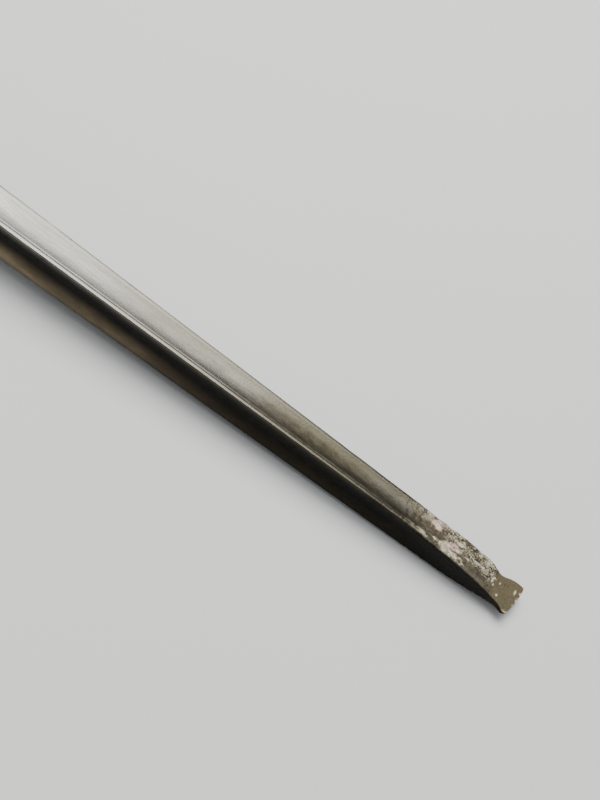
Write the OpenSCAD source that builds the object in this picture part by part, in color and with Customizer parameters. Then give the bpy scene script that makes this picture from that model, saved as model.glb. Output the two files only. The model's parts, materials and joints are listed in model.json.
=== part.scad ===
// Squeegee applicator: a hand tool with a clamped, felt-edged squeegee card on a swivelling
// head at one end and a forged, fluted lifter bar with a chisel tip at the other.
// It lies flat on z = 0, with the chisel tip at +X and the squeegee card at -X.

/* [Lifter bar] */
// Length of bar in front of the bolster
bar_len = 160; // [140:1:220]
// Side of the square section at the bolster
root_side = 9.4; // [8.6:0.1:10.4]
// Side of the square section where the wedge starts
neck_side = 6.5; // [5.8:0.1:7.2]
// Length of the forged wedge at the tip
wedge_len = 28; // [22:1:34]
// Width of the flared cutting edge
flare_w = 8.1; // [7.6:0.1:9]
// Thickness of the cutting edge
edge_t = 0.7; // [0.5:0.1:1]
// Depth of the flute in each long face
flute_depth = 0.55; // [0.2:0.05:0.8]

/* [Handle] */
// Length of the two scales
scale_len = 112; // [100:1:130]
// Mean width of the handle
handle_w = 26; // [24:0.5:30]
// Thickness of the whole handle
handle_t = 17; // [16:0.5:20]
// How far the grip narrows at its waist and swells at the palm
swell = 1.3; // [0:0.1:2]
// Thickness of the tang
tang_t = 5; // [4:0.5:6]
// Length of the bolster
bolster_len = 14; // [10:1:20]
// Radius of the hole that the tool hangs from
hang_r = 3; // [2.5:0.25:3.5]

/* [Squeegee head] */
// Width of the squeegee card
card_w = 100; // [96:1:140]
// Thickness of the squeegee card
card_t = 3; // [2.5:0.1:3]
// Length of card in front of the clamp
card_reach = 28; // [22:1:40]
// Width of the clamp
clamp_w = 90; // [80:1:94]
// Depth of the clamp from front to back
clamp_d = 24; // [22:1:28]
// Height of the clamp
clamp_h = 17.5; // [17:0.5:19]
// Distance of each clamp screw from the middle
screw_y = 29; // [24:1:34]
// Radius of the swivel bolt
bolt_r = 3; // [2.5:0.25:3]

/* [Hidden] */
$fn = 48;

gap = 0.05;              // running clearance on radius
skin = 0.03;             // gap between flat faces that touch
over = 1;                // how far a cutter runs past what it cuts

// Fasteners.
rivet_r = 2.5;           // barrel of a handle rivet
post_r = 1.5;            // post pressed into the barrel
rivet_head_r = 4;
rivet_head_t = 1.35;
rivet_sink = 1.5;        // depth of the seat for a rivet's head
liner_t = 1;             // wall of the hang hole's liner
bolt_hex_r = 5.8;        // swivel bolt's head, across its corners
bolt_head_t = 2.6;
yoke_screw_r = 2;
yoke_screw_z = 8;
screw_r = 2.5;           // clamp screw
groove_r = 2.1;          // clamp screw, inside its clip's groove
clip_t = 0.9;

// Heights, from the surface that the tool lies on.
tang_z = (handle_t - tang_t) / 2;
mid_z = handle_t / 2;
disc_t = 0.6;            // friction disc
ear_top = handle_t - 1;  // top of the yoke's upper ear
knob_z = ear_top + 1.1;  // underside of the swivel knob
floor_t = 3;             // clamp floor
roof_t = 3;              // clamp roof
roof_z = clamp_h - roof_t;
card_z = floor_t + 0.45;
bar_z = card_z + card_t + skin;

// Lengths, measured back from the cutting edge.
shoulder_s = bar_len + bolster_len;
handle_end_s = shoulder_s + scale_len;
pivot_s = handle_end_s + 14;
clamp_back_s = pivot_s + 26;
clamp_front_s = clamp_back_s + clamp_d;
wall_t = 4;              // clamp back wall
felt_t = 1.2;
total_len = clamp_front_s + card_reach + felt_t + skin;

// Where a distance from the cutting edge lies along X: the box's middle is at x = 0.
function at(s) = total_len / 2 - s;

screw_x = at(clamp_back_s + wall_t + 10);
rivet_s = [for (share = [0.14, 0.44, 0.73]) shoulder_s + share * scale_len];
hang_s = handle_end_s - 12;

// ---- Shared shapes ----

// A closed solid through a list of rings, each with the same number of points. The first ring is
// at the highest x, and the points run counter-clockwise as seen from +X.
module loft(rings) {
    n = len(rings[0]);
    last = len(rings) - 1;
    front_mid = n * len(rings);
    back_mid = front_mid + 1;
    sides = [for (i = [0:last - 1], j = [0:n - 1])
        [i * n + j, i * n + (j + 1) % n, (i + 1) * n + (j + 1) % n, (i + 1) * n + j]];
    front = [for (j = [0:n - 1]) [front_mid, (j + 1) % n, j]];
    back = [for (j = [0:n - 1]) [back_mid, last * n + j, last * n + (j + 1) % n]];
    points = concat([for (r = rings) each r], [middle(rings[0]), middle(rings[last])]);
    polyhedron(points, concat(front, sides, back), convexity = 4);
}

// The mean of a list of points.
function middle(points) =
    [for (axis = [0:2]) [for (p = points) p[axis]] * [for (p = points) 1] / len(points)];

// A flat outline, as seen from -Y with x to the right and z up, made width wide across Y.
module across(width) {
    translate([0, width / 2, 0]) rotate([90, 0, 0]) linear_extrude(width) children();
}

module tube(outer_r, inner_r, h) {
    difference() {
        cylinder(r = outer_r, h = h);
        translate([0, 0, -over]) cylinder(r = inner_r, h = h + 2 * over);
    }
}

// A straight-knurled thumb head with a plain collar below it.
module knurled_head(r, h, teeth) {
    collar_h = 1.6;
    tooth = 0.35;
    cylinder(r = r - 1.2, h = collar_h);
    translate([0, 0, collar_h]) linear_extrude(h - collar_h)
        polygon([for (i = [0:2 * teeth - 1]) let (a = 180 * i / teeth, q = r - tooth * (i % 2))
            [q * cos(a), q * sin(a)]]);
}

// ---- Lifter bar ----

// Side of the square section, at a distance from the cutting edge.
function bar_side(s) = neck_side + (root_side - neck_side) * (s - wedge_len) / (bar_len - wedge_len);

// Height of the bar's middle. It drops towards the tip, until the heel of the wedge just clears z = 0.
heel_z = neck_side / 2 + 0.3;
function bar_mid(s) = heel_z + (mid_z - heel_z) * (min(s, bar_len) - wedge_len) / (bar_len - wedge_len);

// One ring of the bar: a rectangle with chamfered corners and a shallow flute in each face.
function bar_ring(s, w, t, depth) =
    let (chamfer = min(0.45, t / 4), half = [w, t] / 2, flute = 0.84)
    [for (face = [0:3], k = [0:8])
        let (
            along = half[(face + 1) % 2],
            out = half[face % 2],
            land = along - chamfer,
            u = land * (k == 0 ? -1 : k == 8 ? 1 : flute * (k - 4) / 3),
            d = k == 0 || k == 8 ? 0 : depth * (1 - pow((k - 4) / 3, 2)),
            turn = 90 * face,
            y = (out - d) * cos(turn) - u * sin(turn),
            z = (out - d) * sin(turn) + u * cos(turn)
        )
        [at(s), y, bar_mid(s) + z]];

// The wedge, from the cutting edge back: distance, width, thickness and share of flute depth.
// Its faces are always a little hollow, as a hammer and a file leave them.
wedge = [
    [0, flare_w - 0.3, edge_t, 0.06],
    [1, flare_w, edge_t + 0.2, 0.06],
    [3.2, flare_w - 0.3, 1.4, 0.08],
    [5.6, neck_side - 0.1, 2.1, 0.08],
    [7.4, neck_side + 0.3, 2.8, 0.08],
    [10, neck_side + 0.5, 3.7, 0.1],
    [15, neck_side + 0.35, 5, 0.12],
    [20, neck_side + 0.1, 5.7, 0.3],
    [24, neck_side, 6.2, 0.75],
];
body_rings = 6;

module lifter_bar() {
    color([0.36, 0.34, 0.30]) difference() {
        union() {
            loft([
                for (r = wedge) bar_ring(r[0], r[1], r[2], r[3] * flute_depth),
                for (i = [0:body_rings]) let (s = wedge_len + (bar_len - wedge_len) * i / body_rings)
                    bar_ring(s, bar_side(s), bar_side(s), flute_depth),
                bar_ring(shoulder_s - skin, root_side, root_side, flute_depth),
            ]);
            translate([0, 0, tang_z]) linear_extrude(tang_t) tang_outline();
        }
        for (s = rivet_s) translate([at(s), 0, 0]) cylinder(r = rivet_r + gap, h = handle_t);
        translate([at(hang_s), 0, 0]) cylinder(r = hang_r + liner_t + gap, h = handle_t);
        translate([at(pivot_s), 0, 0]) cylinder(r = bolt_r + gap, h = handle_t);
    }
}

// Half the handle's width, at a share of the scales' length: a waist, then a palm swell.
function half_w(u) = handle_w / 2 - swell * sin(360 * u);

tang_steps = 20;
tang_inset = 0.4;        // how far the tang's sides lie inside the scales'
heel_in = 2.4;           // how far they draw in at the handle's end
tongue_w = 15;
tongue_eye_r = 8.5;

// The tang fills the handle, then runs back as a tongue with an eye for the swivel bolt.
module tang_outline() {
    side = [for (i = [0:tang_steps]) let (u = i / tang_steps)
        [at(shoulder_s + scale_len * u) - (i == 0 ? skin : 0), half_w(u) - tang_inset - heel_in * pow(u, 8)]];
    polygon(concat(
        side,
        [for (i = [tang_steps:-1:0]) [side[i][0], -side[i][1]]]
    ));
    translate([at(shoulder_s) - over, -root_side / 3]) square([3 * over, root_side * 2 / 3]);
    translate([at(pivot_s), -tongue_w / 2]) square([pivot_s - handle_end_s + 2, tongue_w]);
    translate([at(pivot_s), 0]) circle(r = tongue_eye_r);
}

// ---- Handle ----

module front_bolster() {
    corner_r = 4;
    front_trim = 2.2;
    nose_l = 0.5;
    taper_l = 4;
    color([0.62, 0.52, 0.30]) difference() {
        hull() for (side = [-1, 1], z = [corner_r, handle_t - corner_r]) {
            translate([at(shoulder_s), side * (handle_w / 2 - corner_r), z])
                rotate([0, 90, 0]) cylinder(r = corner_r, h = bolster_len - taper_l, $fn = 32);
            translate([at(bar_len + nose_l), side * (handle_w / 2 - corner_r - front_trim), z])
                rotate([0, 90, 0]) cylinder(r = corner_r - front_trim, h = nose_l, $fn = 32);
        }
        hole = root_side + 2 * gap;
        translate([at(shoulder_s + over), -hole / 2, mid_z - hole / 2])
            cube([bolster_len + 2 * over, hole, hole]);
    }
}

scale_t = tang_z;
grip_r = 5;              // radius along the grip's edges

// One ring of the upper scale, flat against the tang and rounded outside.
function scale_ring(u, inset) =
    let (hw = half_w(u) - inset, r = grip_r, top = scale_t - inset, base = tang_z + tang_t + skin, steps = 8)
    concat(
        [[at(shoulder_s + scale_len * u), hw, base]],
        [for (i = [0:steps]) let (a = 90 * i / steps)
            [at(shoulder_s + scale_len * u), hw - r + r * cos(a), base - skin + top - r + r * sin(a)]],
        [for (i = [0:steps]) let (a = 90 + 90 * i / steps)
            [at(shoulder_s + scale_len * u), -hw + r + r * cos(a), base - skin + top - r + r * sin(a)]],
        [[at(shoulder_s + scale_len * u), -hw, base]]
    );

scale_steps = 28;
end_round = 0.03;        // share of the scales' length over which their end is rounded off

module upper_scale() {
    color([0.42, 0.25, 0.14]) difference() {
        loft([
            scale_ring(skin / scale_len, 0),
            for (i = [1:scale_steps]) scale_ring((1 - end_round) * i / scale_steps, 0),
            scale_ring(1 - 0.4 * end_round, 0.3),
            scale_ring(1, 0.9),
        ]);
        for (s = rivet_s) translate([at(s), 0, 0]) {
            cylinder(r = rivet_r + gap, h = handle_t + over);
            translate([0, 0, handle_t - rivet_sink]) cylinder(r = rivet_head_r + gap, h = rivet_sink + over);
        }
        translate([at(hang_s), 0, 0]) cylinder(r = hang_r + liner_t + gap, h = handle_t + over);
    }
}

module lower_scale() {
    translate([0, 0, handle_t]) rotate([180, 0, 0]) upper_scale();
}

low_head = 0.1;          // how far a rivet's head lies below the wood
post_l = 11.5;

// A cutler's rivet is two pieces: a barrel with a blind hole, and a post pressed into it.
module rivet_barrels() {
    head_z = handle_t - low_head - rivet_head_t;
    color([0.72, 0.56, 0.28]) for (s = rivet_s) translate([at(s), 0, 0]) difference() {
        union() {
            translate([0, 0, rivet_sink]) cylinder(r = rivet_r, h = handle_t - low_head - rivet_sink);
            translate([0, 0, head_z]) cylinder(r = rivet_head_r, h = rivet_head_t);
        }
        translate([0, 0, rivet_sink - over]) cylinder(r = post_r + gap, h = post_l + 0.5);
    }
}

module rivet_posts() {
    color([0.72, 0.56, 0.28]) for (s = rivet_s) translate([at(s), 0, low_head]) {
        cylinder(r = rivet_head_r, h = rivet_head_t);
        cylinder(r = post_r, h = post_l);
    }
}

module hang_hole_liner() {
    color([0.72, 0.56, 0.28]) translate([at(hang_s), 0, 0]) tube(hang_r + liner_t, hang_r, handle_t);
}

// ---- Swivel ----

yoke_w = 64;
foot_t = 4;              // thickness of the yoke's foot where it meets the clamp
slot_x = 10.8;           // how far the tongue's slot runs behind the bolt

// Outline of the yoke: a round ear, spreading to the clamp's back with hollowed sides.
module yoke_outline() {
    ear_r = 10.5;
    back = clamp_back_s - pivot_s - skin;
    hollow_r = 26;
    translate([at(pivot_s), 0]) {
        circle(r = ear_r);
        difference() {
            polygon([[0, ear_r], [-back + foot_t, yoke_w / 2], [-back, yoke_w / 2],
                     [-back, -yoke_w / 2], [-back + foot_t, -yoke_w / 2], [0, -ear_r]]);
            for (side = [-1, 1])
                translate([2.5, side * (ear_r + hollow_r + 1.5)]) circle(r = hollow_r, $fn = 96);
        }
    }
}

yoke_screw_y = [-24, -9, 9, 24];
yoke_screw_l = 7;        // how far these screws run into the yoke
bolt_sink = 0.2;         // how far the bolt's head lies inside the yoke

module yoke() {
    color([0.60, 0.60, 0.60]) difference() {
        linear_extrude(ear_top) yoke_outline();
        translate([at(pivot_s) - slot_x, -yoke_w, tang_z - disc_t])
            cube([2 * yoke_w, 2 * yoke_w, tang_t + 2 * disc_t]);
        translate([at(pivot_s), 0, -over]) cylinder(r = bolt_r + gap, h = ear_top + 2 * over);
        translate([at(pivot_s), 0, -over])
            cylinder(r = bolt_hex_r + 2 * gap, h = over + bolt_sink + bolt_head_t + 2 * gap, $fn = 6);
        for (y = yoke_screw_y) translate([at(clamp_back_s) - over, y, yoke_screw_z])
            rotate([0, 90, 0]) cylinder(r = yoke_screw_r + gap, h = over + yoke_screw_l + 1, $fn = 32);
    }
}

module swivel_bolt() {
    color([0.55, 0.55, 0.56]) translate([at(pivot_s), 0, bolt_sink]) {
        cylinder(r = bolt_hex_r, h = bolt_head_t, $fn = 6);
        cylinder(r = bolt_r, h = knob_z + 8);
    }
}

module friction_discs() {
    color([0.85, 0.84, 0.78]) for (z = [tang_z - disc_t, tang_z + tang_t])
        translate([at(pivot_s), 0, z + skin]) tube(tongue_eye_r, bolt_r + 2 * gap, disc_t - 2 * skin);
}

module knob_washer() {
    color([0.55, 0.55, 0.56]) translate([at(pivot_s), 0, ear_top + skin]) tube(7, bolt_r + 2 * gap, 1);
}

insert_r = 4.5;          // brass insert moulded into the knob
insert_h = 8;

// Six shallow scallops round the rim make the knob's lobes, and its top edge is bevelled.
module swivel_knob() {
    lobes = 6;
    knob_r = 12;
    foot_h = 2;
    rim_h = 6.5;
    bevel = [1.5, 1.2];
    color([0.09, 0.09, 0.09]) translate([at(pivot_s), 0, knob_z]) difference() {
        union() {
            cylinder(r = insert_r + 3, h = foot_h + 0.5);
            translate([0, 0, foot_h]) cylinder(r = knob_r, h = rim_h);
            translate([0, 0, foot_h + rim_h]) cylinder(r1 = knob_r, r2 = knob_r - bevel[0], h = bevel[1]);
        }
        for (i = [0:lobes - 1]) rotate(360 * (i + 0.5) / lobes) translate([knob_r + 3.2, 0, 0])
            cylinder(r = 5, h = foot_h + rim_h + bevel[1] + over);
        translate([0, 0, -over]) cylinder(r = insert_r, h = insert_h + over);
        translate([0, 0, insert_h - over]) cylinder(r = bolt_r + 0.4, h = rim_h);
    }
}

module knob_insert() {
    color([0.72, 0.56, 0.28]) translate([at(pivot_s), 0, knob_z])
        tube(insert_r - skin, bolt_r + gap, insert_h - skin);
}

// ---- Clamp ----

pad_l = 13;              // rubber pad let into the clamp's floor
pad_x = 3;               // how far behind the clamp's mouth it starts
pad_sink = 1;

// The channel's section, with x along the tool and its mouth at the lower x.
module clamp_profile() {
    back_x = at(clamp_back_s);
    front_x = at(clamp_front_s);
    r = 1.5;
    difference() {
        union() {
            translate([front_x, r]) square([clamp_d, clamp_h - 2 * r]);
            translate([front_x + r, 0]) square([clamp_d - 2 * r, clamp_h]);
            for (x = [front_x + r, back_x - r], z = [r, clamp_h - r]) translate([x, z]) circle(r = r);
        }
        translate([front_x - over, floor_t]) square([clamp_d - wall_t + over, roof_z - floor_t]);
        translate([front_x + pad_x, floor_t - pad_sink]) square([pad_l, pad_sink + over]);
    }
}

module clamp_channel() {
    color([0.66, 0.66, 0.67]) difference() {
        across(clamp_w) clamp_profile();
        for (side = [-1, 1]) translate([screw_x, side * screw_y, roof_z - over])
            cylinder(r = screw_r + 2 * gap, h = roof_t + 2 * over);
        for (y = yoke_screw_y) translate([at(clamp_back_s + wall_t), y, yoke_screw_z]) rotate([0, 90, 0]) {
            translate([0, 0, -over]) cylinder(r = yoke_screw_r + gap, h = wall_t + 2 * over, $fn = 32);
            translate([0, 0, -skin])
                cylinder(r1 = 2 * yoke_screw_r, r2 = yoke_screw_r, h = yoke_screw_r, $fn = 32);
        }
    }
}

// Countersunk screws with a hexagon socket, driven from inside the channel.
module yoke_screws() {
    head = yoke_screw_r - 0.1;
    socket_r = 1.3;
    x = at(clamp_back_s + wall_t) + gap;
    color([0.45, 0.45, 0.46]) for (y = yoke_screw_y) translate([x, y, yoke_screw_z])
        rotate([0, 90, 0]) difference() {
            union() {
                cylinder(r1 = 2 * head, r2 = head, h = head, $fn = 32);
                cylinder(r = yoke_screw_r, h = wall_t + yoke_screw_l, $fn = 32);
            }
            translate([0, 0, -over]) cylinder(r = socket_r, h = over + socket_r, $fn = 6);
        }
}

module jaw_pad() {
    pad_t = 1.4;
    color([0.10, 0.10, 0.10])
        translate([at(clamp_front_s) + pad_x + skin, -clamp_w / 2, floor_t - pad_sink + skin])
            cube([pad_l - 2 * skin, clamp_w, pad_t - 2 * skin]);
}

module pressure_bar() {
    bar_t = 5;
    bar_d = 15;
    bar_w = clamp_w - 4;
    r = 2;
    color([0.50, 0.50, 0.51]) difference() {
        translate([at(clamp_front_s) + 1.5, -bar_w / 2, bar_z]) linear_extrude(bar_t) union() {
            translate([r, 0]) square([bar_d - 2 * r, bar_w]);
            translate([0, r]) square([bar_d, bar_w - 2 * r]);
            for (x = [r, bar_d - r], y = [r, bar_w - r]) translate([x, y]) circle(r = r);
        }
        for (side = [-1, 1]) translate([screw_x, side * screw_y, bar_z - over])
            cylinder(r = screw_r + gap, h = bar_t + 2 * over);
    }
}

clip_z = roof_z - clip_t - gap;

// A captive thumb screw: it turns in the roof, held by its clip, and draws the pressure bar.
module clamp_screw() {
    head_r = 7;
    head_h = 9.5;
    teeth = 36;
    color([0.70, 0.70, 0.70]) translate([screw_x, 0, 0]) {
        translate([0, 0, clamp_h + skin]) knurled_head(head_r, head_h, teeth);
        difference() {
            translate([0, 0, bar_z + 2 * gap]) cylinder(r = screw_r, h = clamp_h + over - bar_z);
            translate([0, 0, clip_z - skin]) tube(screw_r + over, groove_r, clip_t + 2 * skin);
        }
    }
}

// The clip is open on one side, so that it snaps into the screw's groove.
module clip() {
    clip_r = 4.6;
    mouth = 3.2;
    color([0.25, 0.25, 0.26]) translate([screw_x, 0, clip_z]) difference() {
        tube(clip_r, groove_r + skin, clip_t);
        translate([0, -mouth / 2, -over]) cube([clip_r + over, mouth, clip_t + 2 * over]);
    }
}

module clamp_screw_left() {
    translate([0, screw_y, 0]) clamp_screw();
}

module clamp_screw_right() {
    translate([0, -screw_y, 0]) clamp_screw();
}

module clip_left() {
    translate([0, screw_y, 0]) clip();
}

module clip_right() {
    translate([0, -screw_y, 0]) clip();
}

// ---- Squeegee card ----

edge_z = 0.8;            // how much the card thins on each side at its working edge
bevel_l = 12;
card_front = at(clamp_front_s + card_reach);
card_back = at(clamp_back_s + wall_t + 0.4);

module squeegee_card() {
    r = 3;
    color([0.86, 0.84, 0.76]) intersection() {
        across(card_w) polygon([
            [card_front, card_z + edge_z], [card_front + bevel_l, card_z], [card_back, card_z],
            [card_back, card_z + card_t], [card_front + bevel_l, card_z + card_t],
            [card_front, card_z + card_t - edge_z]]);
        linear_extrude(clamp_h) {
            translate([card_front, -card_w / 2]) square([card_back - card_front - r, card_w]);
            translate([card_back - 2 * r, r - card_w / 2]) square([2 * r, card_w - 2 * r]);
            for (side = [-1, 1]) translate([card_back - r, side * (card_w / 2 - r)]) circle(r = r);
        }
    }
}

felt_l = 14;

// A strip of felt folded over the card's working edge.
module felt_edge() {
    nose = 0.1;
    inner = card_z - skin;
    top = card_z + card_t + skin;
    x0 = card_front - skin;
    x1 = card_front + bevel_l;
    x2 = card_front + felt_l;
    color([0.07, 0.07, 0.08]) across(card_w) polygon([
        [x0 - felt_t, inner + edge_z - nose], [x0, inner + edge_z - felt_t], [x1, inner - felt_t],
        [x2, inner - felt_t], [x2, inner], [x1, inner], [x0, inner + edge_z],
        [x0, top - edge_z], [x1, top], [x2, top], [x2, top + felt_t],
        [x1, top + felt_t], [x0, top - edge_z + felt_t], [x0 - felt_t, top - edge_z + nose]]);
}

lifter_bar();
front_bolster();
upper_scale();
lower_scale();
rivet_barrels();
rivet_posts();
hang_hole_liner();
yoke();
swivel_bolt();
friction_discs();
knob_washer();
swivel_knob();
knob_insert();
clamp_channel();
yoke_screws();
jaw_pad();
pressure_bar();
clamp_screw_left();
clamp_screw_right();
clip_left();
clip_right();
squeegee_card();
felt_edge();
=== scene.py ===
import json
import math

import bpy
from mathutils import Matrix, Vector, noise


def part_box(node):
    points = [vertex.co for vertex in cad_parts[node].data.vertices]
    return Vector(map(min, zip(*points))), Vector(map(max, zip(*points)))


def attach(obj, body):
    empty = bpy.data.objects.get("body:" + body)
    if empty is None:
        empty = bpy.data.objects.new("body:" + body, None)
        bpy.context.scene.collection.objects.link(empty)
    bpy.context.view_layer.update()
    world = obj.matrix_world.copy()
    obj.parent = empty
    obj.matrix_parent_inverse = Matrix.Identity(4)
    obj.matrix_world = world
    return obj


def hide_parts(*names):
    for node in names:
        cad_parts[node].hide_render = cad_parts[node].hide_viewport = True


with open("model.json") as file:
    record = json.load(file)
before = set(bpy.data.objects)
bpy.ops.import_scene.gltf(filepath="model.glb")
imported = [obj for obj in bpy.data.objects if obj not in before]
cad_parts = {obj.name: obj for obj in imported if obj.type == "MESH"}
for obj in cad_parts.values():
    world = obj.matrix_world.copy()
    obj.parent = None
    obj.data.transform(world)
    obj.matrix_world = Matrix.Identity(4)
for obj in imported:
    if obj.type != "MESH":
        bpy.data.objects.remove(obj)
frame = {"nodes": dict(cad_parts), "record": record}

MM = 0.001
BODY_OF = {
    node: body
    for body, nodes in frame["record"]["behaviour"]["bodies"].items()
    for node in nodes
}
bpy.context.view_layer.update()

# The bar's driving sizes, in metres. Elsewhere, s is a distance back from the cutting edge, in millimetres.
TIP_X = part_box("lifter_bar")[1].x
BOLSTER_LOW, BOLSTER_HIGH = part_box("front_bolster")
BAR_LENGTH = TIP_X - BOLSTER_HIGH.x
HANDLE_Z = (BOLSTER_LOW.z + BOLSTER_HIGH.z) / 2
WEDGE_LENGTH = 28 * MM
HEEL_Z = 3.55 * MM


# ---- Bench tools: selecting, copying and finishing ----

def deselect_all():
    if bpy.context.object and bpy.context.object.mode != "OBJECT":
        bpy.ops.object.mode_set(mode="OBJECT")
    bpy.ops.object.select_all(action="DESELECT")


def pick(piece):
    deselect_all()
    piece.select_set(True)
    bpy.context.view_layer.objects.active = piece


def edit(piece):
    pick(piece)
    bpy.ops.object.mode_set(mode="EDIT")
    bpy.ops.mesh.select_all(action="SELECT")


def select_edges(piece, wanted):
    """Leaves the piece in edit mode with only those edges selected whose two ends are wanted."""
    edit(piece)
    bpy.ops.mesh.select_mode(type="EDGE")
    bpy.ops.mesh.select_all(action="DESELECT")
    leave_edit()
    for edge in piece.data.edges:
        edge.select = wanted(*(piece.data.vertices[i].co for i in edge.vertices))
    bpy.ops.object.mode_set(mode="EDIT")


def leave_edit():
    bpy.ops.object.mode_set(mode="OBJECT")


def named(piece, name):
    piece.name = name
    piece.data.name = name
    return piece


def apply_modifier(piece, kind, **settings):
    pick(piece)
    modifier = piece.modifiers.new(kind.title(), kind)
    for key, value in settings.items():
        setattr(modifier, key, value)
    bpy.ops.object.modifier_apply(modifier=modifier.name)


def smooth(piece, degrees):
    pick(piece)
    bpy.ops.object.shade_smooth_by_angle(angle=math.radians(degrees))


def place(piece):
    """Moves the piece's place into its mesh, so that its object sits at the origin."""
    pick(piece)
    bpy.ops.object.transform_apply(location=True, rotation=True, scale=True)


def mount_piece(piece, node, material):
    """The piece stands for a CAD node, rides on that node's body and wears a material."""
    piece.data.materials.clear()
    piece.data.materials.append(material)
    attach(piece, BODY_OF[node])
    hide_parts(node)
    return piece


def smoothstep(low, high, value):
    t = min(max((value - low) / (high - low), 0), 1)
    return t * t * (3 - 2 * t)


def along(table, s):
    """A value read off a short table of (distance, value) rows, in a straight line between rows."""
    for (s0, v0), (s1, v1) in zip(table, table[1:]):
        if s <= s1:
            t = min(max((s - s0) / (s1 - s0), 0), 1)
            return v0 + (v1 - v0) * t
    return table[-1][1]


def paint(piece, name, values):
    layer = piece.data.attributes.new(name, "FLOAT", "POINT")
    layer.data.foreach_set("value", values)


SOFT_TURN, SHARP_TURN = 14, 32


def mark_edges(piece):
    """Stores how sharply the surface turns at each point, for rubbed edges."""
    mesh = piece.data
    faces_at = {}
    for polygon in mesh.polygons:
        for key in polygon.edge_keys:
            faces_at.setdefault(key, []).append(polygon.normal)
    turn = [0.0] * len(mesh.vertices)
    for (a, b), normals in faces_at.items():
        if len(normals) == 2 and normals[0].length and normals[1].length:
            angle = math.degrees(normals[0].angle(normals[1], 0))
            for vertex in (a, b):
                turn[vertex] = max(turn[vertex], smoothstep(SOFT_TURN, SHARP_TURN, angle))
    paint(piece, "edge_wear", turn)


MERGE_DISTANCE = 0.002 * MM
FLAT_WITHIN = math.radians(0.4)
SHARP_ANGLE = 30


def finished_copy(node, name, material, bevel, segments=2):
    """A clean copy of a CAD node: points merged, flats made whole, edges broken, curves shaded round."""
    piece = frame["nodes"][node].copy()
    piece.data = piece.data.copy()
    bpy.context.scene.collection.objects.link(piece)
    piece.parent = None
    piece.hide_render = piece.hide_viewport = False
    for key in [k for k in piece.keys() if k.startswith("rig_")]:
        del piece[key]
    named(piece, name)
    edit(piece)
    bpy.ops.mesh.remove_doubles(threshold=MERGE_DISTANCE)
    bpy.ops.mesh.dissolve_limited(angle_limit=FLAT_WITHIN)
    leave_edit()
    if bevel:
        apply_modifier(piece, "BEVEL", width=bevel * MM, segments=segments, limit_method="ANGLE",
                       angle_limit=math.radians(SHARP_ANGLE), use_clamp_overlap=True)
    smooth(piece, SHARP_ANGLE)
    mark_edges(piece)
    return mount_piece(piece, node, material)


# ---- Finishes ----

class Finish:
    """A material under construction: the nodes of one surface, on the object's own coordinates."""

    def __init__(self, name):
        self.material = bpy.data.materials.new(name)
        self.material.use_nodes = True
        self.tree = self.material.node_tree
        self.shader = self.tree.nodes["Principled BSDF"]
        self.place = self.tree.nodes.new("ShaderNodeTexCoord").outputs["Object"]

    def add(self, kind, sockets=None, **settings):
        made = self.tree.nodes.new(kind)
        for key, value in settings.items():
            setattr(made, key, value)
        for key, value in (sockets or {}).items():
            self.feed(made.inputs[key], value)
        return made

    def feed(self, socket, value):
        if isinstance(value, bpy.types.NodeSocket):
            self.tree.links.new(value, socket)
        else:
            socket.default_value = value

    def set(self, **values):
        """Feeds the shader's own sockets, named with underscores."""
        for key, value in values.items():
            self.feed(self.shader.inputs[key.replace("_", " ")], value)

    def grain(self, scale, stretch=(1, 1, 1), detail=4, rough=0.55, distortion=0.0):
        """Noise with `scale` cells a metre, drawn out along an axis where its stretch is small."""
        moved = self.add("ShaderNodeMapping", {"Vector": self.place, "Scale": stretch})
        return self.add("ShaderNodeTexNoise", {
            "Vector": moved.outputs[0], "Scale": scale, "Detail": detail,
            "Roughness": rough, "Distortion": distortion}).outputs["Fac"]

    def painted(self, name):
        return self.add("ShaderNodeAttribute", attribute_name=name).outputs["Fac"]

    def axis(self, index):
        return self.add("ShaderNodeSeparateXYZ", {"Vector": self.place}).outputs[index]

    def between(self, value, low, high, to_low=0.0, to_high=1.0):
        return self.add("ShaderNodeMapRange", {
            "Value": value, "From Min": low, "From Max": high, "To Min": to_low, "To Max": to_high,
        }, interpolation_type="SMOOTHSTEP").outputs[0]

    def behind_edge(self, far, near, to_far=0.0, to_near=1.0):
        """Changes between two distances behind the cutting edge, in millimetres."""
        return self.between(self.axis(0), TIP_X - far * MM, TIP_X - near * MM, to_far, to_near)

    def times(self, a, b):
        return self.add("ShaderNodeMath", {0: a, 1: b}, operation="MULTIPLY", use_clamp=True).outputs[0]

    def mix(self, amount, a, b):
        """From colour a to colour b."""
        made = self.add("ShaderNodeMix", data_type="RGBA")
        for socket, value in ((made.inputs[0], amount), (made.inputs[6], a), (made.inputs[7], b)):
            self.feed(socket, (*value, 1) if isinstance(value, tuple) and len(value) == 3 else value)
        return made.outputs[2]

    def mix_value(self, amount, a, b):
        made = self.add("ShaderNodeMix", data_type="FLOAT")
        for socket, value in ((made.inputs[0], amount), (made.inputs[2], a), (made.inputs[3], b)):
            self.feed(socket, value)
        return made.outputs[0]

    def relief(self, height, depth, under=None):
        """Bump from a 0 to 1 height, with its depth in millimetres."""
        sockets = {"Height": height, "Distance": depth * MM, "Strength": 1.0}
        if under is not None:
            sockets["Normal"] = under
        return self.add("ShaderNodeBump", sockets).outputs[0]


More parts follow.
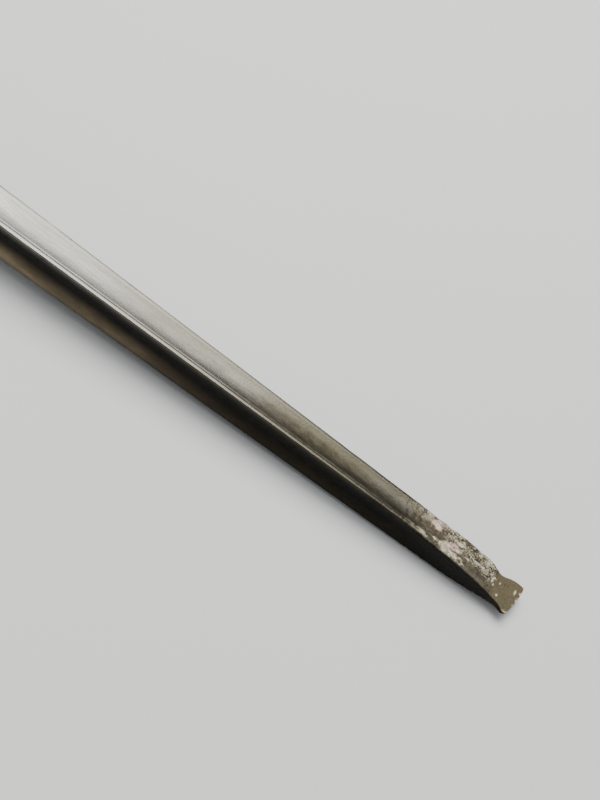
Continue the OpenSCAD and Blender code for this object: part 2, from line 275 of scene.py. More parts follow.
def aged_steel():
    """Forged and ground bar: grey on its upper faces, fading to olive towards the tip as oxide and as painted
    light falloff; painted shade on its flanks, with a painted reflection low on them; crusted at the tip.
    """
    f = Finish("aged_steel")
    toward_tip = f.behind_edge(152, 44)
    far_edge = f.between(f.axis(1), 0.4 * MM, 3.0 * MM)
    tip_zone = f.behind_edge(30, 22)
    end_flat = f.behind_edge(7.2, 5.9)
    cloud = f.grain(140, (0.35, 1, 1), detail=5, rough=0.6)
    mottle = f.grain(900, (0.6, 1, 1), detail=6, rough=0.65)
    speck = f.grain(2600, detail=3)
    grind = f.grain(3600, (0.015, 1, 1), detail=3)
    flank = f.painted("flank")
    wear = f.times(f.painted("land"), f.between(f.grain(420, (0.3, 1, 1)), 0.30, 0.50, 0.35, 1.0))

    # From clean grey at the root to olive towards the tip: oxide on the steel, and also painted light falloff
    # for the key light's reflection fading along the bar.
    clean = f.mix(f.between(grind, 0.3, 0.7), (0.190, 0.187, 0.170), (0.262, 0.259, 0.240))
    olive = f.mix(f.between(mottle, 0.35, 0.65), (0.022, 0.019, 0.011), (0.040, 0.035, 0.023))
    oxide_and_light_falloff = f.times(toward_tip, f.between(cloud, 0.2, 0.6, 0.82, 1.0))
    upper = f.mix(oxide_and_light_falloff, clean, olive)
    # Painted light: near the tip, the far part of the upper face, which faces the key light, is painted
    # lighter.
    far_side_painted_light = f.mix(toward_tip, (0.20, 0.195, 0.165), (0.080, 0.073, 0.051))
    upper = f.mix(f.times(far_edge, toward_tip), upper, far_side_painted_light)
    # Painted reflection: low on the flanks, most towards the handle, a lighter brown stands for the lit floor
    # reflected there.
    brown = f.mix(f.between(cloud, 0.35, 0.62), (0.11, 0.088, 0.058), (0.21, 0.165, 0.108))
    # Painted shade: the flanks, turned away from the key light, are painted near black.
    black = f.mix(f.between(mottle, 0.3, 0.7), (0.004, 0.004, 0.003), (0.010, 0.009, 0.007))
    low_flank_reflection = f.times(f.painted("low_side"), f.behind_edge(62, 108, 0.10, 1.0))
    side = f.mix(low_flank_reflection, black, brown)
    body = f.mix(flank, upper, side)
    # The rubbed lands darken towards the tip with the same painted light falloff.
    rubbed = f.mix(toward_tip, (0.20, 0.195, 0.172), (0.058, 0.053, 0.039))
    body = f.mix(wear, body, rubbed)

    raw = f.mix(f.between(mottle, 0.38, 0.6), (0.050, 0.041, 0.026), (0.098, 0.086, 0.058))
    crust = f.times(f.painted("crust"), f.between(mottle, 0.44, 0.58))
    raw = f.mix(crust, raw, (0.26, 0.232, 0.160))
    raw = f.mix(f.times(f.between(speck, 0.54, 0.64), f.painted("crust")), raw, (0.44, 0.395, 0.285))
    raw = f.mix(f.between(speck, 0.42, 0.34), raw, (0.026, 0.020, 0.013))
    pale = f.times(f.painted("pale_scuff"), f.between(mottle, 0.40, 0.56))
    cream = f.mix(f.between(speck, 0.36, 0.6), (0.30, 0.26, 0.175), (0.62, 0.555, 0.415))
    raw = f.mix(pale, raw, cream)
    pit = f.times(f.painted("dark_pit"), f.between(speck, 0.66, 0.52))
    raw = f.mix(pit, raw, (0.060, 0.045, 0.028))
    pink = f.times(f.painted("pink_scuff"), f.between(mottle, 0.28, 0.44))
    raw = f.mix(pink, raw, f.mix(f.between(speck, 0.3, 0.6), (0.40, 0.27, 0.215), (0.64, 0.46, 0.39)))
    ground = f.mix(f.between(speck, 0.3, 0.7), (0.086, 0.069, 0.038), (0.126, 0.104, 0.061))
    tip_colour = f.mix(end_flat, raw, ground)
    # Pale chips, and a painted highlight along the near corner of the cutting edge.
    chip = f.times(f.painted("chip_and_edge_highlight"), f.between(speck, 0.32, 0.5))
    tip_colour = f.mix(chip, tip_colour, (0.66, 0.57, 0.40))
    # Painted shade: the flanks at the tip are painted nearly black too.
    tip_and_flank_shade = f.mix(f.times(flank, 0.95), tip_colour, (0.003, 0.003, 0.002))
    f.feed(f.shader.inputs["Base Color"], f.mix(tip_zone, body, tip_and_flank_shade))

    metalness = f.mix_value(flank, 0.92, 0.85)
    f.set(Metallic=f.mix_value(tip_zone, metalness, 0.25), Specular_IOR_Level=0.15)
    rough = f.between(cloud, 0.3, 0.7, 0.31, 0.41)
    rough = f.mix_value(flank, rough, 0.44)
    rough = f.mix_value(wear, rough, 0.28)
    f.set(Roughness=f.mix_value(tip_zone, rough, f.between(mottle, 0.3, 0.7, 0.42, 0.62)))
    lines = f.relief(grind, 0.012)
    pores = f.relief(f.between(speck, 0.25, 0.5), 0.012, lines)
    pits = f.relief(f.times(f.between(mottle, 0.3, 0.55), tip_zone), 0.05, pores)
    f.set(Normal=pits)
    return f.material


def oiled_wood():
    """Dark open-grained hardwood, oiled, with the grain along the handle."""
    f = Finish("oiled_wood")
    rings = f.grain(95, (0.06, 1.6, 1), detail=5, rough=0.6, distortion=1.2)
    fibre = f.grain(1500, (0.02, 1, 1), detail=5, rough=0.65)
    pores = f.grain(2400, (0.05, 1, 1), detail=2)
    tone = f.mix(f.between(rings, 0.3, 0.7), (0.042, 0.016, 0.007), (0.125, 0.052, 0.021))
    tone = f.mix(f.between(fibre, 0.35, 0.7, 0.0, 0.45), tone, (0.170, 0.078, 0.034))
    tone = f.mix(f.between(pores, 0.42, 0.32), tone, (0.016, 0.007, 0.004))
    tone = f.mix(f.times(f.painted("edge_wear"), 0.35), tone, (0.24, 0.125, 0.062))
    hands = f.grain(60, detail=3)
    tone = f.mix(f.between(hands, 0.45, 0.7, 0.0, 0.4), tone, (0.030, 0.013, 0.006))
    f.feed(f.shader.inputs["Base Color"], tone)
    f.set(Roughness=f.between(f.grain(160, (0.3, 1, 1)), 0.3, 0.7, 0.38, 0.56))
    f.set(Specular_IOR_Level=0.35, Coat_Weight=0.08, Coat_Roughness=0.25)
    f.set(Normal=f.relief(f.between(pores, 0.30, 0.42), 0.05, f.relief(fibre, 0.025)))
    return f.material


def brass(name, tarnish, rough):
    f = Finish(name)
    cloud = f.grain(220, detail=5, rough=0.65)
    fine = f.grain(2800, (1, 0.08, 0.08), detail=3)
    tone = f.mix(f.between(fine, 0.3, 0.7), (0.60, 0.42, 0.17), (0.72, 0.53, 0.25))
    tone = f.mix(f.between(cloud, 0.42, 0.68, 0.0, tarnish), tone, (0.20, 0.135, 0.06))
    tone = f.mix(f.times(f.painted("edge_wear"), 0.6), tone, (0.86, 0.68, 0.36))
    f.feed(f.shader.inputs["Base Color"], tone)
    f.set(Metallic=1.0, Roughness=f.between(cloud, 0.3, 0.7, rough, rough + 0.18))
    f.set(Normal=f.relief(fine, 0.008))
    return f.material


def metal(name, dark, light, rough, brush=(1, 1, 1), cell=2600, depth=0.01, wear=0.5, grime=0.35):
    """A plain metal: its brush marks or blasted grain, faint grime, and bright rubbed edges."""
    f = Finish(name)
    marks = f.grain(cell, brush, detail=4, rough=0.6)
    cloud = f.grain(130, detail=5, rough=0.6)
    tone = f.mix(f.between(marks, 0.3, 0.7), dark, light)
    tone = f.mix(f.between(cloud, 0.46, 0.72, 0.0, grime), tone, tuple(c * 0.45 for c in dark))
    tone = f.mix(f.times(f.painted("edge_wear"), wear), tone, tuple(min(c * 1.45, 0.9) for c in light))
    f.feed(f.shader.inputs["Base Color"], tone)
    f.set(Metallic=1.0, Roughness=f.between(cloud, 0.3, 0.7, rough, rough + 0.12))
    f.set(Normal=f.relief(marks, depth))
    return f.material


def moulded_plastic():
    f = Finish("moulded_plastic")
    texture = f.grain(3200, detail=2)
    cloud = f.grain(170, detail=4)
    tone = f.mix(f.between(cloud, 0.35, 0.7), (0.014, 0.014, 0.015), (0.030, 0.030, 0.031))
    rubbed = f.times(f.painted("edge_wear"), f.between(cloud, 0.35, 0.6, 0.1, 0.6))
    tone = f.mix(rubbed, tone, (0.11, 0.11, 0.112))
    f.feed(f.shader.inputs["Base Color"], tone)
    f.set(Roughness=f.between(cloud, 0.3, 0.7, 0.42, 0.58))
    f.set(Normal=f.relief(texture, 0.02))
    return f.material


def worn_nylon():
    """Off-white card stock, a little see-through, with drag scratches along its stroke."""
    f = Finish("worn_nylon")
    cloud = f.grain(60, detail=5)
    scratch = f.grain(1800, (0.03, 1, 1), detail=4, rough=0.7)
    cross = f.grain(1300, (1, 0.05, 1), detail=3, rough=0.7)
    tone = f.mix(f.between(cloud, 0.3, 0.7), (0.62, 0.575, 0.455), (0.73, 0.695, 0.59))
    tone = f.mix(f.between(scratch, 0.54, 0.66, 0.0, 0.6), tone, (0.42, 0.37, 0.28))
    tone = f.mix(f.between(cross, 0.60, 0.72, 0.0, 0.4), tone, (0.84, 0.82, 0.75))
    tone = f.mix(f.times(f.painted("edge_wear"), 0.4), tone, (0.60, 0.55, 0.45))
    f.feed(f.shader.inputs["Base Color"], tone)
    f.set(Roughness=f.between(scratch, 0.3, 0.7, 0.34, 0.52))
    f.set(Subsurface_Weight=0.12, Subsurface_Radius=(0.003, 0.0026, 0.002), Subsurface_Scale=1.0)
    f.set(Normal=f.relief(scratch, 0.012, f.relief(cross, 0.008)))
    return f.material


def pad_rubber():
    f = Finish("pad_rubber")
    bloom = f.grain(400, detail=5)
    tone = f.mix(f.between(bloom, 0.35, 0.75), (0.014, 0.014, 0.014), (0.05, 0.05, 0.05))
    f.feed(f.shader.inputs["Base Color"], tone)
    f.set(Roughness=f.between(bloom, 0.3, 0.7, 0.7, 0.88))
    f.set(Normal=f.relief(f.grain(3000, detail=2), 0.02))
    return f.material


def edge_felt():
    """Dense pressed felt: tangled fibre, a soft sheen, and a little pale lint."""
    f = Finish("edge_felt")
    tangle = f.grain(4200, (1, 0.35, 1), detail=6, rough=0.8, distortion=1.5)
    clump = f.grain(700, detail=4)
    lint = f.grain(3300, (0.25, 1, 1), detail=2, distortion=2.0)
    tone = f.mix(f.between(tangle, 0.34, 0.66), (0.004, 0.004, 0.005), (0.036, 0.036, 0.040))
    tone = f.mix(f.between(clump, 0.4, 0.7, 0.0, 0.45), tone, (0.010, 0.010, 0.012))
    tone = f.mix(f.between(lint, 0.69, 0.75, 0.0, 0.7), tone, (0.26, 0.25, 0.23))
    f.feed(f.shader.inputs["Base Color"], tone)
    f.set(Roughness=f.between(clump, 0.3, 0.7, 0.88, 0.98))
    f.set(Specular_IOR_Level=0.2, Sheen_Weight=0.12, Sheen_Roughness=0.5)
    f.set(Normal=f.relief(tangle, 0.22))
    return f.material


STEEL = aged_steel()
WOOD = oiled_wood()
BOLSTER_BRASS = brass("tarnished_brass", tarnish=0.75, rough=0.30)
FITTING_BRASS = brass("turned_brass", tarnish=0.4, rough=0.24)
CASTING = metal("blasted_casting", (0.36, 0.36, 0.365), (0.52, 0.52, 0.525), 0.46, cell=3400, depth=0.02)
EXTRUSION = metal("brushed_extrusion", (0.46, 0.46, 0.47), (0.64, 0.64, 0.65), 0.30, (1, 0.02, 1), 3000)
PLATED = metal("nickel_plate", (0.36, 0.35, 0.33), (0.46, 0.45, 0.43), 0.26, (0.3, 0.3, 1), 2200, 0.008,
               wear=0.15, grime=0.5)
FLAT_BAR = metal("ground_flat_bar", (0.20, 0.20, 0.205), (0.34, 0.34, 0.345), 0.34, (1, 0.02, 1), 2600)
BLACKED = metal("blacked_steel", (0.035, 0.035, 0.04), (0.07, 0.07, 0.075), 0.38, wear=0.8)
PLASTIC = moulded_plastic()
NYLON = worn_nylon()
RUBBER = pad_rubber()
FELT = edge_felt()


# ---- Lifter bar ----

# Half widths on the far side (+Y) and the near side (-Y), and whole thickness, all in millimetres.
FAR_HALF = [(0, 3.9), (0.4, 4.08), (1.6, 4.1), (2.6, 3.95), (3.6, 3.62), (4.6, 3.18), (5.4, 2.88),
            (6.1, 2.84), (6.8, 3.08), (7.6, 3.38), (8.8, 3.6), (11.8, 3.56), (16, 3.46), (22, 3.3),
            (28, 3.25), (160, 4.7), (170, 4.7)]
NEAR_HALF = [(0, 4.0), (0.4, 4.3), (1, 4.4), (2.4, 4.12), (4.2, 3.74), (7.1, 3.57), (9.8, 3.55), (16, 3.46),
             (22, 3.3), (28, 3.25), (160, 4.7), (170, 4.7)]
THICKNESS = [(0, 0.6), (1, 0.82), (3.2, 1.15), (5.8, 2.0), (7, 2.6), (9.8, 3.6), (15, 5.05), (20, 5.65),
             (24, 6.05), (28, 6.5), (160, 9.4), (170, 9.4)]
# How much of the flute's full depth is cut at each distance.
FLUTE_SHARE = [(0, 0.03), (14, 0.04), (18, 0.14), (22, 0.42), (26, 0.78), (31, 1.0), (170, 1.0)]
FLUTE_DEPTH = 0.40
FLUTE_STEPS = 9
ROUND_STEPS = 4
ROUND_RADIUS = 0.38
# Where the land begins, and the scribed line before it, as shares of the way from a face's middle to its
# corner. The line's depth is in millimetres.
SHOULDER = 0.80
SCRIBE, SCRIBE_HALF, SCRIBE_DEPTH = 0.755, 0.028, 0.07

# Marks on the upper face, each (distance from the edge, place across, reach along, reach across).
# A lump's last value is its height.
LUMPS = [(11.0, 2.9, 1.2, 0.8, 0.12), (9.2, 2.8, 1.6, 0.9, 0.22), (7.0, 2.6, 1.1, 0.6, 0.12),
         (22.3, 1.5, 1.7, 0.9, -0.12), (17.0, -0.5, 1.9, 0.9, -0.10), (14.3, 2.3, 1.3, 0.8, -0.14),
         (14.5, -0.1, 0.5, 0.4, -0.14), (13.8, -2.0, 0.6, 0.4, -0.12), (13.0, 0.4, 0.6, 0.5, -0.12),
         (7.9, 1.1, 0.6, 0.8, -0.16), (15.2, -2.4, 1.0, 0.7, 0.10), (17.0, -2.3, 0.8, 0.6, 0.08),
         (20.0, 1.6, 1.4, 0.7, -0.08), (22.5, -0.1, 2.2, 0.3, -0.10), (10.8, -1.4, 1.6, 1.0, -0.06)]
PINK_MARKS = [(22.7, 1.75, 1.0, 0.7), (21.7, 1.3, 0.9, 0.7), (16.9, -0.35, 1.5, 0.9), (18.6, -0.9, 1.1, 0.6)]
PALE_MARKS = [(11.0, 2.9, 1.2, 0.8), (9.3, 2.6, 1.6, 1.0), (7.2, 2.7, 1.1, 0.5), (20.6, -1.7, 2.2, 0.7),
              (17.6, -2.2, 2.4, 0.9), (15.2, -2.4, 1.5, 0.8), (19.2, -0.7, 1.3, 0.6), (13.2, -0.6, 1.4, 0.35),
              (12.0, 0.4, 1.5, 0.35), (23.6, 2.6, 2.4, 0.5), (18.3, 2.9, 1.6, 0.5), (25.5, -2.3, 3.6, 0.5),
              (16.4, 1.2, 1.4, 0.5), (9.9, 0.5, 0.5, 0.4)]
PIT_MARKS = [(14.3, 2.3, 1.4, 0.8), (22.4, -0.05, 2.4, 0.45), (20.2, 1.4, 1.3, 0.8), (14.5, -0.1, 0.45, 0.4),
             (13.8, -2.0, 0.7, 0.5), (12.9, 0.6, 0.8, 0.4), (7.9, 1.1, 0.55, 0.8), (7.5, -0.5, 0.3, 0.5),
             (24.6, 0.4, 2.0, 0.4), (11.9, 1.6, 0.7, 0.5)]
# Pale chips at the tip, and one painted highlight: the long mark at 1.7 mm on the near corner, along the
# edge's rounding.
CHIP_AND_HIGHLIGHT_MARKS = [(7.1, 0.35, 0.36, 0.40), (7.55, 0.75, 0.40, 0.24), (6.6, 0.7, 0.42, 0.22),
              (7.05, -0.35, 0.22, 0.55), (6.5, -0.9, 0.22, 0.3), (1.45, 1.5, 0.22, 0.8),
              (0.35, 0.2, 0.4, 0.7), (0.3, 2.0, 0.3, 0.35), (1.7, -4.0, 1.0, 0.3), (4.9, -2.3, 0.28, 0.26),
              (5.2, 0.6, 0.25, 0.22), (0.7, -1.4, 0.3, 0.3)]
# Notches in the cutting edge: place across, reach across, and depth.
EDGE_CHIPS = [(-1.4, 0.45, 0.22), (2.9, 0.35, 0.16), (-2.6, 0.3, 0.12), (1.4, 0.25, 0.12)]
EDGE_WAVER = 0.07
EDGE_DROOP, DROOP_LENGTH = 0.25, 9

# The near corner of the cutting edge is worn back by CORNER_WEAR, as a power of the way across.
CORNER_WEAR, WEAR_POWER = 1.65, 2.2
EDGE_HIGH_Y, EDGE_WIDTH = 4.1, 8.3

# Unevenness of the surface, in layers of (depth, waves in each millimetre).
FORGED_SWELL = [(0.02, 0.12), (0.012, 0.5)]
RUST_PITTING = [(0.10, 0.9), (0.06, 2.1), (0.03, 5)]
RAGGED_MARKS = [(0.35, 1.6), (0.2, 4)]
NICK_DEPTH, NICK_PITCH, NICK_RARITY = 0.10, 0.45, 0.18


def bar_middle(s):
    """Height of the bar's middle, for s in millimetres."""
    slope = (HANDLE_Z - HEEL_Z) / (BAR_LENGTH - WEDGE_LENGTH)
    return HEEL_Z + slope * (min(s * MM, BAR_LENGTH) - WEDGE_LENGTH)


def ring_profile():
    """The bar's section, as (face, share across, share of the corner's turn) for each point."""
    hollow = [0.96 * SCRIBE * (step + 0.5) / FLUTE_STEPS for step in range(FLUTE_STEPS)]
    step_down = [SCRIBE - SCRIBE_HALF, SCRIBE, SCRIBE + SCRIBE_HALF, SHOULDER]
    half = hollow + step_down + [(SHOULDER + 1) / 2, 1]
    across = [-share for share in reversed(half)] + half
    turns = [(step + 1) / (ROUND_STEPS + 1) for step in range(ROUND_STEPS)]
    return [point for face in range(4)
            for point in [(face, share, 0) for share in across] + [(face, 1, turn) for turn in turns]]


def section_point(s, face, share, turn):
    """Place of one section point, with the direction that the surface faces there."""
    far, near, thick = along(FAR_HALF, s), along(NEAR_HALF, s), along(THICKNESS, s)
    half = ((far + near) / 2, thick / 2)
    corner = min(ROUND_RADIUS, thick / 4)
    out, reach = half[face % 2], half[(face + 1) % 2] - corner
    if turn:
        angle = turn * math.pi / 2
        local = (out - corner + corner * math.cos(angle), reach + corner * math.sin(angle))
        facing = (math.cos(angle), math.sin(angle))
    else:
        depth = FLUTE_DEPTH * along(FLUTE_SHARE, s)
        inside = max(1 - (share / SHOULDER) ** 2, 0)
        if face % 2:
            depth_here = SCRIBE_DEPTH * along(FLUTE_SHARE, s)
            out -= depth_here * max(1 - abs(share - SCRIBE) / (2 * SCRIBE_HALF), 0)
        local = (out - depth * inside, reach * share)
        facing = (1.0, 0.0)
    quarter = math.radians(90 * face)
    cos, sin = math.cos(quarter), math.sin(quarter)
    y = local[0] * cos - local[1] * sin + (far - near) / 2
    z = local[0] * sin + local[1] * cos
    return y, z, (facing[0] * cos - facing[1] * sin, facing[0] * sin + facing[1] * cos)


def patch(marks, s, y, wobble):
    """How strongly a point lies inside any of the marks, each (s, y, reach along, reach across)."""
    best = 0.0
    for mark_s, mark_y, reach_s, reach_y in marks:
        away = math.hypot((s - mark_s) / reach_s, (y - mark_y) / reach_y) + wobble
        best = max(best, 1 - smoothstep(0.55, 1.1, away))
    return best


def uneven(layers, here):
    return sum(depth * noise.noise(here * waves) for depth, waves in layers)


def roughness_at(s):
    """Pitting fills the forged end, from the ground flat back to where the flutes begin."""
    return (1 - smoothstep(23, 33, s)) * smoothstep(5.2, 6.8, s)


# The bar is cut into rings: short steps over the forged end, longer ones behind it.
FIRST_CUTS, SECOND_CUTS = 7, 42
RING_COUNT = (FIRST_CUTS + 1) * (SECOND_CUTS + 1)
FINE_STEP, FINE_COUNT = 0.15, 214
LONG_STEP = 1.0


def lifter_bar():
    """A round bar, cut into rings along its length and then forged, ring by ring, to its section."""
    profile = ring_profile()
    deselect_all()
    bpy.ops.mesh.primitive_cylinder_add(vertices=len(profile), radius=4 * MM, depth=RING_COUNT * MM,
                                        rotation=(0, math.pi / 2, 0))
    bar = named(bpy.context.object, "fluted_bar")
    place(bar)
    for cuts in (FIRST_CUTS, SECOND_CUTS):
        select_edges(bar, lambda a, b: abs(a.x - b.x) > MM)
        bpy.ops.mesh.subdivide(number_cuts=cuts)
        leave_edit()

    marks = {name: [0.0] * len(bar.data.vertices) for name in
             ("flank", "low_side", "land", "crust", "pink_scuff", "pale_scuff", "dark_pit", "chip_and_edge_highlight")}
    for vertex in bar.data.vertices:
        station = round(RING_COUNT / 2 - vertex.co.x / MM)
        s = min(station, FINE_COUNT) * FINE_STEP + max(station - FINE_COUNT, 0) * LONG_STEP
        turn_index = round(math.atan2(vertex.co.z, vertex.co.y) / (2 * math.pi) * len(profile)) % len(profile)
        face, share, turn = profile[turn_index]
        y, z, facing = section_point(s, face, share, turn)

        corner = smoothstep(0.8, 1.0, abs(share))
        rough = roughness_at(s)
        here = Vector((s, y, z))
        nick_place = Vector((s * NICK_PITCH, face * 7.3 + share, turn))
        nicks = -NICK_DEPTH * corner * max(noise.noise(nick_place) - NICK_RARITY, 0)
        lift = uneven(FORGED_SWELL, here) + nicks + rough * uneven(RUST_PITTING, here)
        top = max(facing[1], 0)
        for lump_s, lump_y, reach_s, reach_y, height in LUMPS:
            away = math.hypot((s - lump_s) / reach_s, (y - lump_y) / reach_y)
            lift += height * top * (1 - smoothstep(0.25, 1.0, away))
        y += facing[0] * lift
        z += facing[1] * lift
        chip = sum(depth * (1 - smoothstep(0.2, 1.0, abs(y - chip_y) / reach))
                   for chip_y, reach, depth in EDGE_CHIPS)
        chip += EDGE_WAVER * (noise.noise(Vector((y * 1.7, z, 3))) + 0.5)
        worn_back = CORNER_WEAR * max((EDGE_HIGH_Y - y) / EDGE_WIDTH, 0) ** WEAR_POWER
        back = s + chip * (1 - smoothstep(0.0, 1.2, s)) + worn_back * (1 - smoothstep(0.0, 4.0, s))
        dip = -EDGE_DROOP * (1 - smoothstep(0, DROOP_LENGTH, s))
        vertex.co = Vector((TIP_X - back * MM, y * MM, bar_middle(s) + (z + dip) * MM))

        flank = abs(facing[0])
        # The flanks, the faces turned sideways, are painted in shade by the steel finish.
        marks["flank"][vertex.index] = smoothstep(0.35, 0.9, flank)
        # The lower part of each flank, painted lighter as a reflection of the floor.
        marks["low_side"][vertex.index] = smoothstep(0.25, -0.75, z / (along(THICKNESS, s) / 2))
        on_land = smoothstep(SHOULDER - 0.02, SHOULDER + 0.02, abs(share))
        upright = 1 if turn or abs(facing[1]) > 0.5 else 0.25
        marks["land"][vertex.index] = on_land * upright * smoothstep(20, 34, s)
        wobble = uneven(RAGGED_MARKS, here)
        if facing[1] > 0.2:
            marks["pink_scuff"][vertex.index] = patch(PINK_MARKS, s, y, wobble)
            marks["pale_scuff"][vertex.index] = patch(PALE_MARKS, s, y, wobble)
            marks["dark_pit"][vertex.index] = patch(PIT_MARKS, s, y, wobble)
            # Pale chips, with one painted highlight along the near corner.
            marks["chip_and_edge_highlight"][vertex.index] = patch(CHIP_AND_HIGHLIGHT_MARKS, back, y, wobble * 0.5)
            marks["crust"][vertex.index] = smoothstep(-1.2, 0.6, y - 0.12 * (s - 14)) * smoothstep(6, 8, s)
    for name, values in marks.items():
        paint(bar, name, values)
    smooth(bar, 40)
    return mount_piece(bar, "lifter_bar", STEEL)


def tang():
    """The part of the bar that runs through the handle and out to the swivel, from the CAD solid."""
    piece = finished_copy("lifter_bar", "tang_and_tongue", STEEL, bevel=0)
    edit(piece)
    bpy.ops.mesh.bisect(plane_co=(BOLSTER_LOW.x + 1 * MM, 0, 0), plane_no=(1, 0, 0), use_fill=True,
                        clear_outer=True)
    leave_edit()
    apply_modifier(piece, "BEVEL", width=0.25 * MM, segments=2, limit_method="ANGLE",
                   angle_limit=math.radians(35))
    smooth(piece, 30)
    return piece


# ---- Felt ----

FELT_THICKNESS = 1.2
CARD_BEVEL_LENGTH = 12
CARD_BEVEL_DROP = 0.8
FELT_AROUND, FELT_ACROSS = 110, 160
# The felt's nap, in layers of (depth in millimetres, waves in each metre), and the wander of its cut edges.
FELT_FUZZ = [(0.03, 900), (0.02, 2600)]
CUT_WANDER, CUT_WAVES, CUT_ONLY = 0.10 * MM, 40, 12
FELT_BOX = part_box("felt_edge")
CARD_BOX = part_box("squeegee_card")


def felt_path(t):
    """The felt's middle line round the card's edge, for t from 0 (below, inside) to 1 (above, inside)."""
    (felt_low, felt_high), (card_low, card_high) = FELT_BOX, CARD_BOX
    mid_z = (card_low.z + card_high.z) / 2
    flat_z = (felt_high.z - felt_low.z) / 2 - FELT_THICKNESS * MM / 2
    nose_z = flat_z - CARD_BEVEL_DROP * MM
    nose_x = card_low.x
    bend_x = nose_x + CARD_BEVEL_LENGTH * MM
    nose_out = nose_x - felt_low.x - FELT_THICKNESS * MM / 2
    legs = [felt_high.x - bend_x, CARD_BEVEL_LENGTH * MM, math.pi * (nose_z + nose_out) / 4]
    travel = abs(t - 0.5) * 2 * sum(legs)
    side = 1 if t > 0.5 else -1
    if travel <= legs[2]:
        angle = travel / legs[2] * math.pi / 2
        return nose_x - nose_out * math.cos(angle), mid_z + side * nose_z * math.sin(angle)
    travel -= legs[2]
    if travel <= legs[1]:
        share = travel / legs[1]
        return nose_x + share * (bend_x - nose_x), mid_z + side * (nose_z + share * (flat_z - nose_z))
    return bend_x + travel - legs[1], mid_z + side * flat_z


def felt_length(count=200):
    points = [felt_path(i / count) for i in range(count + 1)]
    return sum(math.dist(a, b) for a, b in zip(points, points[1:]))


def felt_edge():
    """A strip of felt, folded over the card's working edge and given its thickness."""
    low, high = FELT_BOX
    deselect_all()
    bpy.ops.mesh.primitive_grid_add(x_subdivisions=FELT_AROUND, y_subdivisions=FELT_ACROSS, size=1)
    felt = named(bpy.context.object, "felt_strip")
    for vertex in felt.data.vertices:
        x, z = felt_path(vertex.co.x + 0.5)
        waver = noise.noise(Vector((vertex.co.y * CUT_WAVES, 1, 0)))
        edge_wave = CUT_WANDER * waver * abs(vertex.co.x * 2) ** CUT_ONLY
        vertex.co = Vector((x - abs(edge_wave), low.y + (high.y - low.y) * (vertex.co.y + 0.5), z))
    apply_modifier(felt, "SOLIDIFY", thickness=(FELT_THICKNESS - 0.08) * MM, offset=0, use_even_offset=True)
    edit(felt)
    bpy.ops.mesh.normals_make_consistent(inside=False)
    leave_edit()
    apply_modifier(felt, "BEVEL", width=0.3 * MM, segments=2, limit_method="ANGLE",
                   angle_limit=math.radians(50))
    normals = [v.normal.copy() for v in felt.data.vertices]
    for vertex, normal in zip(felt.data.vertices, normals):
        vertex.co += normal * MM * uneven(FELT_FUZZ, vertex.co)
    smooth(felt, 60)
    mount_piece(felt, "felt_edge", FELT)
    felt_length()
    return felt


# ---- Assembly ----

lifter_bar()
tang()
finished_copy("front_bolster", "bolster", BOLSTER_BRASS, bevel=0.4, segments=3)
finished_copy("upper_scale", "upper_wood_scale", WOOD, bevel=0.35)
finished_copy("lower_scale", "lower_wood_scale", WOOD, bevel=0.35)
finished_copy("rivet_barrels", "rivet_heads_upper", FITTING_BRASS, bevel=0.15)
finished_copy("rivet_posts", "rivet_heads_lower", FITTING_BRASS, bevel=0.15)
finished_copy("hang_hole_liner", "lined_hang_hole", FITTING_BRASS, bevel=0.3, segments=3)
finished_copy("yoke", "swivel_yoke", CASTING, bevel=0.7, segments=3)
finished_copy("swivel_bolt", "pivot_bolt", PLATED, bevel=0.25)
finished_copy("friction_discs", "nylon_discs", NYLON, bevel=0.1)
finished_copy("knob_washer", "flat_washer", PLATED, bevel=0.15)
finished_copy("swivel_knob", "star_knob", PLASTIC, bevel=0.5, segments=3)
finished_copy("knob_insert", "brass_insert", FITTING_BRASS, bevel=0.2)
finished_copy("clamp_channel", "clamp_body", EXTRUSION, bevel=0.25)
finished_copy("yoke_screws", "countersunk_screws", PLATED, bevel=0.12)
finished_copy("jaw_pad", "rubber_jaw_pad", RUBBER, bevel=0.15)
finished_copy("pressure_bar", "jaw_bar_plate", FLAT_BAR, bevel=0.3)
for hand in ("left", "right"):
    finished_copy("clamp_screw_" + hand, "thumb_screw_" + hand, PLATED, bevel=0.12)
    finished_copy("clip_" + hand, "retaining_clip_" + hand, BLACKED, bevel=0.08)
finished_copy("squeegee_card", "nylon_card", NYLON, bevel=0.25)
felt_edge()


# ---- Floor, light and camera ----

FLOOR_SIZE = 40


def pale_floor():
    deselect_all()
    bpy.ops.mesh.primitive_plane_add(size=FLOOR_SIZE)
    floor = named(bpy.context.object, "pale_floor")
    f = Finish("pale_floor")
    f.feed(f.shader.inputs["Base Color"], f.mix(f.grain(3), (0.62, 0.615, 0.605), (0.66, 0.655, 0.645)))
    f.set(Roughness=0.75)
    floor.data.materials.append(f.material)


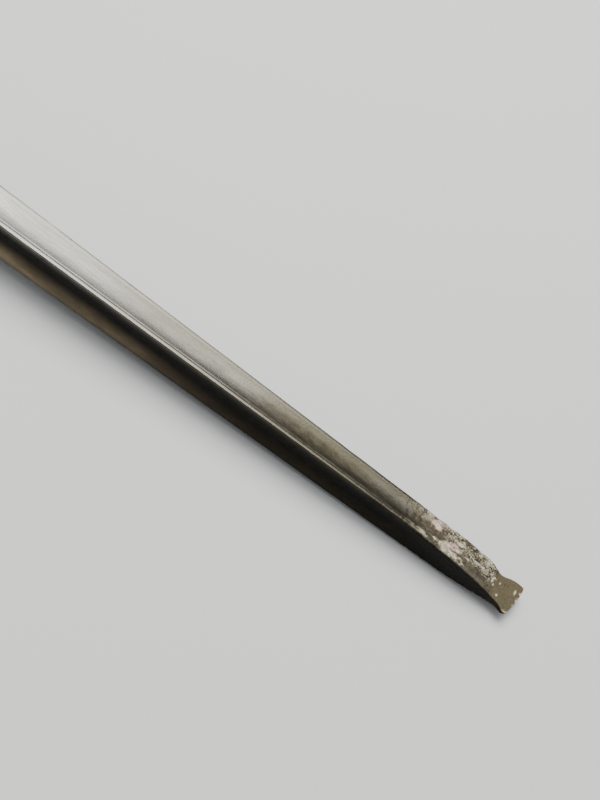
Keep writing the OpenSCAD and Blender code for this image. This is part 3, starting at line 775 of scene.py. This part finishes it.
def softbox(name, aim, azimuth, elevation, distance, size, power, colour):
    """A square area light, placed by its direction from the aim: azimuth 0 is -Y, 90 is +X."""
    a, e = math.radians(azimuth), math.radians(elevation)
    away = Vector((math.sin(a) * math.cos(e), -math.cos(a) * math.cos(e), math.sin(e)))
    light = bpy.data.lights.new(name, "AREA")
    light.shape, light.size, light.energy, light.color = "SQUARE", size, power, colour
    lamp = bpy.data.objects.new(name, light)
    lamp.location = aim + away * distance
    lamp.rotation_mode = "QUATERNION"
    lamp.rotation_quaternion = away.to_track_quat("Z", "Y")
    bpy.context.scene.collection.objects.link(lamp)


def studio():
    aim = Vector((TIP_X - 80 * MM, 0, 5 * MM))
    softbox("window_key", aim, 205, 61, 0.75, 0.6, 9.5, (1.0, 0.985, 0.955))
    softbox("high_fill", aim, 150, 80, 1.2, 0.9, 3.5, (0.96, 0.98, 1.0))
    world = bpy.data.worlds.new("studio_air")
    world.use_nodes = True
    backing = world.node_tree.nodes["Background"]
    backing.inputs["Color"].default_value = (0.80, 0.83, 0.87, 1)
    backing.inputs["Strength"].default_value = 0.6
    bpy.context.scene.world = world


def camera():
    """Looks square on to the bar from its near side, rolled so that the tip points down to the right."""
    elevation, roll = math.radians(48.5), math.radians(36.3)
    lens, distance = 50, 222.2 * MM
    back_from_tip, above = 59.1, 6.9 * MM
    slope = math.atan2(HANDLE_Z - HEEL_Z, BAR_LENGTH - WEDGE_LENGTH)
    bar_way = Vector((math.cos(slope), 0, -math.sin(slope)))
    bar_up = Vector((math.sin(slope), 0, math.cos(slope)))
    across = Vector((0, 1, 0))
    back = bar_up * math.sin(elevation) - across * math.cos(elevation)
    up = bar_up * math.cos(elevation) + across * math.sin(elevation)
    right = bar_way * math.cos(roll) + up * math.sin(roll)
    top = up * math.cos(roll) - bar_way * math.sin(roll)
    target = Vector((TIP_X - back_from_tip * MM, 0, bar_middle(back_from_tip))) + up * above
    lens_data = bpy.data.cameras.new("camera")
    lens_data.lens, lens_data.sensor_width = lens, 36
    lens_data.clip_start = 10 * MM
    eye = bpy.data.objects.new("camera", lens_data)
    turned = Matrix((right, top, back)).transposed().to_4x4()
    eye.matrix_world = Matrix.Translation(target + back * distance) @ turned
    bpy.context.scene.collection.objects.link(eye)
    bpy.context.scene.camera = eye


pale_floor()
studio()
camera()
